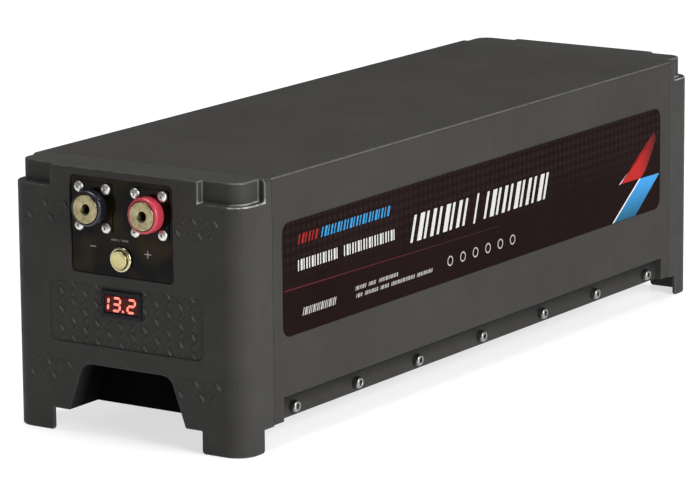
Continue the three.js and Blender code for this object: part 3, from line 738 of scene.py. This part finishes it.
def add_bar(mesh, end, x, z, y, lean):
    """A raised bar with pointed ends. lean is +1 for one that leans right and -1 for a taller one, left."""
    height = BAR["height"] * (1 if lean < 0 else BAR["low"])
    angle = math.radians(lean * BAR["slant"])
    along = Vector((math.cos(angle), 0, math.sin(angle)))
    across = Vector((-along.z, 0, along.x))

    def corner(t, side, rise):
        point = Vector((x, y - rise, z)) + along * (t * BAR["length"] / 2) + across * side
        return mesh.verts.new(from_cap(end, point))

    rows = []
    for step in range(1, BAR_STEPS):
        t = -1 + 2 * step / BAR_STEPS
        rows.append([corner(t, side, rise) for side, rise in bar_section(t, height)])
    tips = [corner(t, 0, -BAR["sunk"]) for t in (-1, 1)]
    for low, high in zip(rows, rows[1:]):
        for one in range(4):
            face = mesh.faces.new([low[one], low[one + 1], high[one + 1], high[one]])
            # The crests of the taller bars are paler: wear, and a painted glint
            face.material_index = CREST_FACE if lean < 0 and one in (1, 2) else BAR_FACE
        mesh.faces.new([low[4], low[0], high[0], high[4]])
    for tip, row in zip(tips, (rows[0], rows[-1])):
        for one in range(4):
            mesh.faces.new([tip, row[one], row[one + 1]])
        mesh.faces.new([tip, row[4], row[0]])


def is_near_meter(x, z):
    low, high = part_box("voltmeter_housing")
    beside_x = low.x - METER_MARGIN < x < high.x + METER_MARGIN
    return beside_x and low.z - METER_MARGIN < z < high.z + METER_MARGIN


def panel_bars(end):
    """Places of the bars in a cap's shallow panel, as (x, z, depth, lean), clear of the meter."""
    places = []
    for column in range(TREAD_COLUMNS):
        for row in range(TREAD_ROWS):
            x = TREAD["x"] + column * TREAD["pitch_x"]
            z = TREAD["z"] + row * TREAD["pitch_z"]
            if end == "rear" or not is_near_meter(x, z):
                places.append((x, z, PANEL_BOX["depth"], -1 if (column + row) % 2 else 1))
    return places


def cluster_bars(x, z):
    """Two rows of bars on the plain face of the cap, the first of them at x and z."""
    low, high = CLUSTER_REACH
    places = []
    for row in (0, 1):
        for one in (-1, 0, 1, 2, 3):
            bar_x = x + one * CLUSTER["spacing"] + row * CLUSTER["step_x"]
            if low < abs(bar_x) < high:
                places.append((bar_x, z + row * CLUSTER["step_z"], 0, 1 if one % 2 else -1))
    return places


def add_tread(end):
    places = panel_bars(end)
    for x in CLUSTER_X:
        for z in CLUSTER_Z:
            places += cluster_bars(x, z)
    mesh = bmesh.new()
    for x, z, y, lean in places:
        add_bar(mesh, end, x, z, y, lean)
    data = built_mesh(f"{end}_tread", mesh, 60)
    piece(f"{end}_tread_pattern", data, TREAD_LOOKS)


# ---- Cover and label ----

# The cover's materials, numbered in the same way
SHEET, STRIP, LONG_EDGE = range(3)
COVER_LOOKS = (COAT, SHADED_COAT, EDGE_HIGHLIGHT)


def cover_part(face):
    """Which of the cover's materials a face takes."""
    place = face.calc_center_median()
    # The strip under the ledge takes the coating with painted shade
    if abs(face.normal.x) > 0.99 and abs(place.x) < HALF_WIDTH - 1 * MM and place.z < LEDGE_TOP:
        return STRIP
    # The middle faces of the rounded long top edges take the painted highlight
    if 0.5 < abs(face.normal.x) < 0.85 and place.z > TOP - 4 * MM:
        return LONG_EDGE
    return SHEET


def add_cover():
    mesh = cad_copy("cover_sleeve")
    low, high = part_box("cover_sleeve")

    def is_ledge_edge(p):
        inside_ends = low.y + 1 * MM < p.y < high.y - 1 * MM
        return inside_ends and abs(p.x) > STRIP_FACE - TINY and p.z < LEDGE_TOP + 6 * MM

    round_edges(mesh, 0.7 * MM, is_ledge_edge)
    for face in mesh.faces:
        face.material_index = cover_part(face)
    piece("folded_cover", to_mesh("cover", mesh), COVER_LOOKS, ["cover_sleeve"])


def add_label():
    node = "side_label"
    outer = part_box(node)[1].x - 0.01 * MM
    rounded_piece("label_film", node, FILM, 0.12 * MM, lambda p: p.x > outer, segments=2)


class Print:
    """Flat printed shapes on the label, in millimetres: y back from the case's front and z up."""

    THICKNESS = 0.03 * MM

    def __init__(self):
        self.mesh = bmesh.new()
        self.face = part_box("side_label")[1].x

    def shape(self, points):
        low = [(self.face, FRONT + y * MM, z * MM) for y, z in points]
        add_prism(self.mesh, low, [(x + self.THICKNESS, y, z) for x, y, z in low])
        return self

    def block(self, y0, y1, z0, z1, slant=0.0):
        """A block whose top is moved back by slant times its height."""
        shift = slant * (z1 - z0)
        self.shape([(y0, z0), (y1, z0), (y1 + shift, z1), (y0 + shift, z1)])

    def ring(self, y, z, radius, stroke, sides=20):
        """A hollow disc, made of pieces that meet without overlapping."""
        turns = [2 * math.pi * step / sides for step in range(sides + 1)]
        inner = radius - stroke
        for start, end in zip(turns, turns[1:]):
            corners = ((radius, start), (radius, end), (inner, end), (inner, start))
            self.shape([(y + r * math.cos(turn), z + r * math.sin(turn)) for r, turn in corners])

    def word(self, y0, y1, z0, z1, bars, slant=0.0):
        """A row of plain solid bars, thin and thick in turn."""
        pitch = (y1 - y0) / bars
        for one in range(bars):
            start = y0 + one * pitch
            width = pitch * (0.36, 0.66, 0.36, 0.5)[one % 4]
            self.block(start, start + width, z0, z1, slant)
        return self

    def finish(self, name, ink):
        piece(name, built_mesh(name, self.mesh), ink)


ITALIC = 0.3


def add_label_print():
    """Plain bars and rings in place of words and signs, and two slanted shapes. None is a letter."""
    white = Print()
    white.word(66, 117, 119.8, 127.6, 15)
    white.word(123, 190, 119.8, 127.6, 19)
    white.word(208.5, 287, 113.5, 133, 9, ITALIC)
    white.block(293.5, 296, 112.5, 134, ITALIC)
    white.word(308, 401, 113.5, 133, 11, ITALIC)
    white.finish("label_print_white", WHITE_INK)

    small = Print()
    for y0, y1 in ((137, 151), (154, 164), (167, 192)):
        small.word(y0, y1, 92.6, 95.4, int((y1 - y0) / 1.7), ITALIC)
    for y0, y1 in ((138, 146), (149, 166), (169, 180), (183, 214), (217, 238)):
        small.word(y0, y1, 87, 89.8, int((y1 - y0) / 1.7), ITALIC)
    small.word(71, 113, 87.5, 93, 17, ITALIC)
    for one in range(6):
        small.ring(262 + 17.4 * one, 90.6, 3.8, 0.9)
    small.finish("label_print_small", GREY_INK)

    Print().word(66, 91, 138.5, 145.5, 6, ITALIC).finish("label_print_red", RED_INK)
    Print().word(94.5, 182, 138.5, 145.5, 22, ITALIC).finish("label_print_blue", BLUE_INK)

    upper = [(509.5, 105.2), (541, 104.8), (549, 110), (566, 133), (562, 138)]
    Print().shape(upper).finish("label_accent_red", FADED_RED)
    lower = [(499.5, 76.2), (533, 76.2), (570.8, 104), (541, 104.4)]
    Print().shape(lower).finish("label_accent_blue", FADED_BLUE)
    edges = Print()
    edges.shape([(507.5, 104.9), (509.5, 105.2), (552, 129), (551, 129.2)])
    edges.shape([(497.5, 76.2), (499.5, 76.2), (541, 104.4), (538.5, 104.2)])
    edges.finish("label_accent_edges", PALE_INK)
    line = [(49, 108), (330, 104), (330, 104.6), (49, 109.2)]
    Print().shape(line).finish("label_print_line", FADED_LINE)


# ---- Terminals ----

# The slot of each terminal's collar
TERMINALS = {"negative": "black_collar", "positive": "red_collar"}
FACE_RADIUS = 10.2 * MM
HOLE_RADIUS = 3.4 * MM
THREAD_PITCH = 1.25 * MM

# A stud's materials, numbered in the same way
FACE_PART, BORE_PART = range(2)
STUD_LOOKS = (BRASS, BORE)


def stud_profile(length, proud):
    """From the back of the stem to the cable face at height 0, then down the tapped hole."""
    stem = 7 * MM
    shoulder = -proud
    edge = 0.5 * MM
    rings = [(0, -length), (stem - edge, -length), (stem, -length + edge), (stem, shoulder)]
    rings += [(FACE_RADIUS, shoulder), (FACE_RADIUS, -edge)]
    rings += arc(FACE_RADIUS - edge, -edge, edge, 20, 90, 4)
    step = 0.15 * MM
    rings += [(FACE_RADIUS - 2.6 * MM, 0), (FACE_RADIUS - 2.8 * MM, -step), (HOLE_RADIUS + 1.1 * MM, -step)]
    depth = -0.9 * MM
    hole_end = -13.6 * MM
    rings.append((HOLE_RADIUS + 0.1 * MM, depth))
    for turn in range(9):
        rings.append((HOLE_RADIUS - 0.35 * MM, depth - (turn + 0.5) * THREAD_PITCH))
        rings.append((HOLE_RADIUS + 0.1 * MM, depth - (turn + 1) * THREAD_PITCH))
    rings += [(HOLE_RADIUS - 0.35 * MM, hole_end), (0, hole_end - 1.8 * MM)]
    return rings


def collar_profile(length):
    """A ring around the stud with a rounded front, closed on itself. Its front is at height 0."""
    bore = 10.6 * MM
    radius = 12.7 * MM
    rounding = 2 * MM
    rings = [(bore, -length), (radius - 0.4 * MM, -length), (radius, -length + 0.4 * MM)]
    rings += arc(radius - rounding, -rounding, rounding, 0, 80, 7)
    rings += [(bore + 0.25 * MM, 0), (bore, -0.25 * MM)]
    return rings


def terminal_stud(kind):
    node = f"{kind}_terminal_stud"
    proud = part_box(f"{kind}_terminal_collar")[1].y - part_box(node)[0].y
    turned = spun(stud_profile(front_to_back(node), proud), 64)
    for face in turned.faces:
        place = face.calc_center_median()
        in_bore = place.z < -1 * MM and place.xy.length < HOLE_RADIUS + TINY
        face.material_index = BORE_PART if in_bore else FACE_PART
    return to_mesh(f"{kind}_stud", turned)


def add_terminals():
    for kind, slot in TERMINALS.items():
        node = f"{kind}_terminal_stud"
        stud = terminal_stud(kind)
        piece(f"{kind}_brass_stud", stud, STUD_LOOKS, [node], place=front_of(node))
        node = f"{kind}_terminal_collar"
        ring = to_mesh(f"{kind}_collar", spun(collar_profile(front_to_back(node)), 64, closed=True))
        piece(f"{kind}_collar_ring", ring, SLOT_LOOKS[slot], [node], place=front_of(node))


# ---- Screws ----

SCREW_LENGTH = 9 * MM
KNURL_SIDES = 72


def cross_reach(arm, half_width):
    """The edge of a cross-shaped recess, by angle."""
    def reach(angle):
        quarter = (angle + math.pi / 4) % (math.pi / 2) - math.pi / 4
        if abs(math.tan(quarter)) * arm < half_width:
            return arm / math.cos(quarter)
        corner = math.sqrt(2) * half_width
        return max(corner, half_width / max(abs(math.sin(quarter)), 1e-6))
    return reach


def hexagon_reach(across_flats):
    """The edge of a six-sided recess, by angle."""
    def reach(angle):
        sixth = (angle + math.pi / 6) % (math.pi / 3) - math.pi / 6
        return across_flats / 2 / math.cos(sixth)
    return reach


def knurled(radius, depth):
    """The edge of a knurled head, by angle: its points are in and out in turn."""
    def reach(angle):
        step = round(angle * KNURL_SIDES / (2 * math.pi))
        return radius - (depth if step % 2 else 0)
    return reach


def pan_screw():
    """A pan head screw with a cross recess, its head standing on height 0."""
    head = 3.9 * MM
    height = 2.4 * MM
    shank = 1.85 * MM
    dome = height / 0.94
    first = math.radians(12)
    rings = [(0, -SCREW_LENGTH), (0.6 * shank, -SCREW_LENGTH)]
    rings += [(shank, -SCREW_LENGTH + 0.8 * MM), (shank, 0)]
    rings += [(head - 0.1 * MM, 0), (head, 0.15 * MM)]
    for step in range(1, 7):
        angle = first + math.radians(50 * step / 6)
        rings.append((head * math.cos(angle) / math.cos(first), dome * math.sin(angle)))
    for arm, half_width, depth in ((1.55, 0.45, 0), (1.35, 0.38, 0.35), (0.7, 0.25, 1.5)):
        rings.append((cross_reach(arm * MM, half_width * MM), height - depth * MM))
    rings.append((0, height - 1.7 * MM))
    return to_mesh("pan_screw", spun(rings, 48))


def socket_screw():
    """A socket head screw with a knurled head, standing on height 0."""
    head = 4.25 * MM
    height = SOCKET_HEAD
    shank = 2.45 * MM
    shank_end = -10 * MM
    rounding = 1.3 * MM
    knurl = knurled(head, 0.22 * MM)
    socket = hexagon_reach(3.6 * MM)
    socket_mouth = hexagon_reach(4.1 * MM)
    rings = [(0, shank_end), (0.7 * shank, shank_end), (shank, shank_end + 0.8 * MM), (shank, 0)]
    rings += [(head - 0.3 * MM, 0), (head - 0.15 * MM, 0.3 * MM)]
    rings += [(knurl, 0.5 * MM), (knurl, 2.8 * MM), (head - 0.2 * MM, 3 * MM)]
    rings += arc(head - 0.2 * MM - rounding, height - rounding, rounding, 10, 90, 6)
    rings += [(2.5 * MM, height), (socket_mouth, height)]
    rings += [(socket, height - 0.25 * MM), (socket, height - 2.4 * MM), (0, height - 2.9 * MM)]
    return to_mesh("socket_screw", spun(rings, KNURL_SIDES), 45)


def add_screws():
    """Screws of both kinds, each turned to an angle of its own."""
    pan = pan_screw()
    for one in range(1, 9):
        node = f"terminal_screw_{one}"
        middle = centre(node)
        place = facing_front(middle.x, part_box(node)[1].y - SCREW_LENGTH, middle.z)
        place = place @ Matrix.Rotation(0.7 * one, 4, "Z")
        piece(f"pan_screw_{one}", pan, STEEL, [node], place=place)
    socket = socket_screw()
    for side, sign in (("left", -1), ("right", 1)):
        for one in range(1, 8):
            node = f"side_screw_{side}_{one}"
            middle = centre(node)
            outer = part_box(node)[1].x if sign > 0 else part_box(node)[0].x
            place = facing_side(sign, outer - sign * SOCKET_HEAD, middle.y, middle.z)
            place = place @ Matrix.Rotation(0.5 * one, 4, "Z")
            piece(f"socket_screw_{side}_{one}", socket, ZINC, [node], place=place)


# ---- Terminal panel, its marks, the button and the meter ----

PANEL_FACE = FRONT + 1.5 * MM
INK_THICKNESS = 0.05 * MM

# Where the middles of the panel's marks lie
MINUS = (-27.3 * MM, 135.3 * MM)
PLUS = (19.4 * MM, 134.4 * MM)
SWITCH_MARK = (-4.3 * MM, 141.7 * MM)


def add_panel():
    """The terminal panel, with the edges of its face rounded."""
    node = "terminal_panel"
    face = PANEL_FACE + TINY
    rounded_piece("gloss_terminal_panel", node, PANEL, 0.35 * MM, lambda p: p.y < face)


def add_stroke(mesh, middle, width, height, slant=0.0):
    """A printed bar on the terminal panel. Its top is moved right by slant times its height."""
    outline = []
    for across, up in ((-1, -1), (1, -1), (1, 1), (-1, 1)):
        x = middle[0] + across * width / 2 + slant * up * height / 2
        outline.append((x, middle[1] + up * height / 2))
    add_raised(mesh, outline, PANEL_FACE, INK_THICKNESS)


def add_marks():
    """Plus, minus and a plain on/off mark, printed on the panel."""
    stroke = 0.6 * MM
    arm = 2.5 * MM
    plus_x, plus_z = PLUS
    mesh = bmesh.new()
    add_stroke(mesh, MINUS, 2 * arm, stroke)
    add_stroke(mesh, PLUS, 2 * arm + stroke, stroke)
    for side in (-1, 1):
        add_stroke(mesh, (plus_x, plus_z + side * (stroke + arm) / 2), stroke, arm)
    piece("panel_signs", built_mesh("signs", mesh), GREY_INK)

    mark_x, mark_z = SWITCH_MARK
    mesh = bmesh.new()
    for side in (-1, 1):
        add_stroke(mesh, (mark_x + side * 4.6 * MM, mark_z), 5.6 * MM, 1.5 * MM)
    add_stroke(mesh, SWITCH_MARK, 0.6 * MM, 2.6 * MM, 0.35)
    piece("panel_switch_mark", built_mesh("switch_mark", mesh), DIM_INK)


def button_bezel():
    """The ring and threaded barrel of the button, its front at height 0."""
    outer = 9 * MM
    barrel = 7.7 * MM
    bore = 6.9 * MM
    bore_end = -7 * MM
    back = -front_to_back("power_button_housing")
    rings = [(0, back), (barrel - 0.5 * MM, back), (barrel, back + 0.5 * MM)]
    for turn in range(18):
        height = back + (1.5 + turn) * MM
        rings += [(barrel, height), (barrel - 0.35 * MM, height + 0.5 * MM)]
    rings += [(barrel, -4 * MM), (barrel, -2 * MM), (outer - 0.2 * MM, -2 * MM), (outer, -1.8 * MM)]
    rings += arc(outer - 1.4 * MM, -1.4 * MM, 1.4 * MM, 5, 88, 7)
    rings += [(bore + 0.3 * MM, -0.05 * MM), (bore, -0.35 * MM), (bore, bore_end), (0, bore_end)]
    return to_mesh("bezel", spun(rings, 64))


def button_disc():
    """The pressed cap: a slightly hollow face inside a fine groove. Its front is at height 0."""
    radius = 6.6 * MM
    back = -front_to_back("power_button_cap")
    rings = [(0, back), (radius, back)]
    rings += arc(radius - 0.6 * MM, -0.6 * MM, 0.6 * MM, 0, 90, 5)
    rings += [(radius - 1.1 * MM, 0), (radius - 1.3 * MM, -0.2 * MM), (radius - 1.5 * MM, 0)]
    for step in range(1, 5):
        rings.append((radius * 0.75 * (1 - step / 4), -0.12 * MM * math.sin(math.pi / 2 * step / 4)))
    return to_mesh("button_disc", spun(rings, 64))


def add_button():
    node = "power_button_housing"
    piece("button_bezel", button_bezel(), BEZEL, [node], place=front_of(node))
    node = "power_button_cap"
    piece("button_disc", button_disc(), GOLD, [node], BUTTON_BODY, place=front_of(node))


DIGIT = {"height": 9 * MM, "width": 5.94 * MM, "stroke": 1.71 * MM, "gap": 0.27 * MM, "slant": 0.1}
LIT_RISE = 0.15 * MM
POINT_RADIUS = 0.9 * MM
POINT_X = 1.6 * MM

# The lit digits 1, 3 and 2, each with its place across the display and its bars
DIGITS = (
    (-13.8 * MM, "upper_right lower_right"),
    (-3.9 * MM, "top upper_right middle lower_right bottom"),
    (8.8 * MM, "top upper_right middle lower_left bottom"),
)

# The middle of each bar, in half widths and half heights of a digit
BAR_MIDDLES = {
    "top": (0, 1), "middle": (0, 0), "bottom": (0, -1),
    "upper_right": (1, 0.5), "lower_left": (-1, -0.5), "lower_right": (1, -0.5),
}


def add_digit(mesh, bars, x, z, y):
    """The lit bars of one seven-segment digit, with mitred ends."""
    half_width = DIGIT["width"] / 2
    half_height = DIGIT["height"] / 2
    side = DIGIT["stroke"] / 2
    for bar in bars.split():
        across, up = BAR_MIDDLES[bar]
        reach = (half_height / 2 if across else half_width) - DIGIT["gap"]
        inner = reach - side
        outline = [(-reach, 0), (-inner, -side), (inner, -side), (reach, 0), (inner, side), (-inner, side)]
        if across:
            outline = [(b, a) for a, b in outline]
        outline = [(across * half_width + a, up * half_height + b) for a, b in outline]
        add_raised(mesh, [(x + a + DIGIT["slant"] * b, z + b) for a, b in outline], y, LIT_RISE)


def add_point(mesh, x, z, y):
    """The decimal point, a small raised disc."""
    sides = 16
    turns = [2 * math.pi * step / sides for step in range(sides)]
    outline = [(x + POINT_RADIUS * math.cos(turn), z + POINT_RADIUS * math.sin(turn)) for turn in turns]
    add_raised(mesh, outline, y, LIT_RISE)


def add_meter():
    node = "voltmeter_housing"
    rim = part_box(node)[0].y + 2 * TINY
    rounded_piece("meter_bezel", node, METER_FRAME, 0.5 * MM, lambda p: p.y < rim)
    node = "voltmeter_display"
    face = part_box(node)[0].y
    rounded_piece("meter_window", node, GLASS, 0.3 * MM, lambda p: p.y < face + 2 * TINY)
    middle = centre(node)
    mesh = bmesh.new()
    for x, bars in DIGITS:
        add_digit(mesh, bars, middle.x + x, middle.z, face)
    add_point(mesh, middle.x + POINT_X, middle.z - DIGIT["height"] / 2, face)
    piece("meter_digits", built_mesh("digits", mesh), LIT)


# ---- The pieces inside, and CAD nodes that still show ----

INNER_ROUNDING = {
    "base_tray": 0.4 * MM,
    "cell_end_plate_front": 0.8 * MM,
    "cell_end_plate_rear": 0.8 * MM,
    "cell_pad": 0.8 * MM,
    "power_button_nut": 0.3 * MM,
    "bms_heatsink": 0.4 * MM,
    "bms_board": 0.2 * MM,
}
INNER_ROUNDING.update({f"cell_{one}": 1.0 * MM for one in range(1, 9)})
INNER_ROUNDING.update({f"busbar_{one}": 0.5 * MM for one in range(1, 6)})

# The slot that the record gives each CAD node
SLOT_OF = {part["node"]: part["material_slot"] for part in frame["record"]["subparts"]}


def add_inner_pieces():
    """Rounded stand-ins for the inner pieces, each with its own finish."""
    for node, width in INNER_ROUNDING.items():
        slot = SLOT_OF[node]
        rounded_piece(f"{node}_finished", node, SLOT_LOOKS[slot], width, segments=2)


def dress_remaining_nodes():
    """CAD nodes that stay as they are get a procedural material for their slot."""
    for name, node in frame["nodes"].items():
        node.data.materials.clear()
        node.data.materials.append(SLOT_LOOKS[SLOT_OF[name]])


# ---- Floor, light and camera ----

LIT_PLACE = Vector((0, 0, 0.1))


def add_floor():
    mesh = bmesh.new()
    bmesh.ops.create_grid(mesh, x_segments=12, y_segments=12, size=9)
    data = bpy.data.meshes.new("floor")
    mesh.to_mesh(data)
    mesh.free()
    data.materials.append(floor_paint())
    floor = show("floor", data)
    floor.location.z = -0.05 * MM


def add_softbox(name, place, width, height, power):
    """A rectangular light that faces the middle of the battery."""
    light = bpy.data.lights.new(name, "AREA")
    light.shape = "RECTANGLE"
    light.size = width
    light.size_y = height
    light.energy = power
    shown = show(name, light)
    shown.location = Vector(place)
    shown.rotation_euler = (LIT_PLACE - shown.location).to_track_quat("-Z", "Y").to_euler()


def add_lights():
    world = bpy.data.worlds.new("studio")
    bpy.context.scene.world = world
    world.use_nodes = True
    fill(world.node_tree.nodes["Background"], Color=(1, 1, 1, 1), Strength=0.2)
    add_softbox("side_softbox", (1.95, -0.38, 0.85), 1.35, 1.1, 51)
    add_softbox("top_softbox", (-0.3, 0.2, 3.0), 2.0, 2.0, 82)


# Target and distance are in metres, angles in degrees and the lens in millimetres
CAMERA = {
    "target": (0.0327, FRONT + 0.2265, 0.1026),
    "distance": 3.0,
    "azimuth": 33.6835,
    "elevation": 12.0475,
    "roll": -0.511,
    "lens": 214.18,
}


def add_camera():
    azimuth, elevation, roll = (math.radians(CAMERA[name]) for name in ("azimuth", "elevation", "roll"))
    back = Vector((
        math.sin(azimuth) * math.cos(elevation),
        -math.cos(azimuth) * math.cos(elevation),
        math.sin(elevation),
    ))
    level = Vector((math.cos(azimuth), math.sin(azimuth), 0))
    upright = back.cross(level)
    right = level * math.cos(roll) + upright * math.sin(roll)
    up = upright * math.cos(roll) - level * math.sin(roll)
    data = bpy.data.cameras.new("camera")
    data.lens = CAMERA["lens"]
    data.sensor_width = 36
    data.clip_end = 50
    camera = show("camera", data)
    turn = Matrix((right, up, back)).transposed().to_4x4()
    camera.matrix_world = Matrix.Translation(Vector(CAMERA["target"]) + back * CAMERA["distance"]) @ turn
    bpy.context.scene.camera = camera


bpy.context.scene.view_settings.view_transform = "Standard"
add_camera()
add_lights()
add_floor()
dress_remaining_nodes()
for end in ("front", "rear"):
    add_cap(end)
    add_tread(end)
add_cover()
add_label()
add_label_print()
add_panel()
add_marks()
add_terminals()
add_screws()
add_button()
add_meter()
add_inner_pieces()
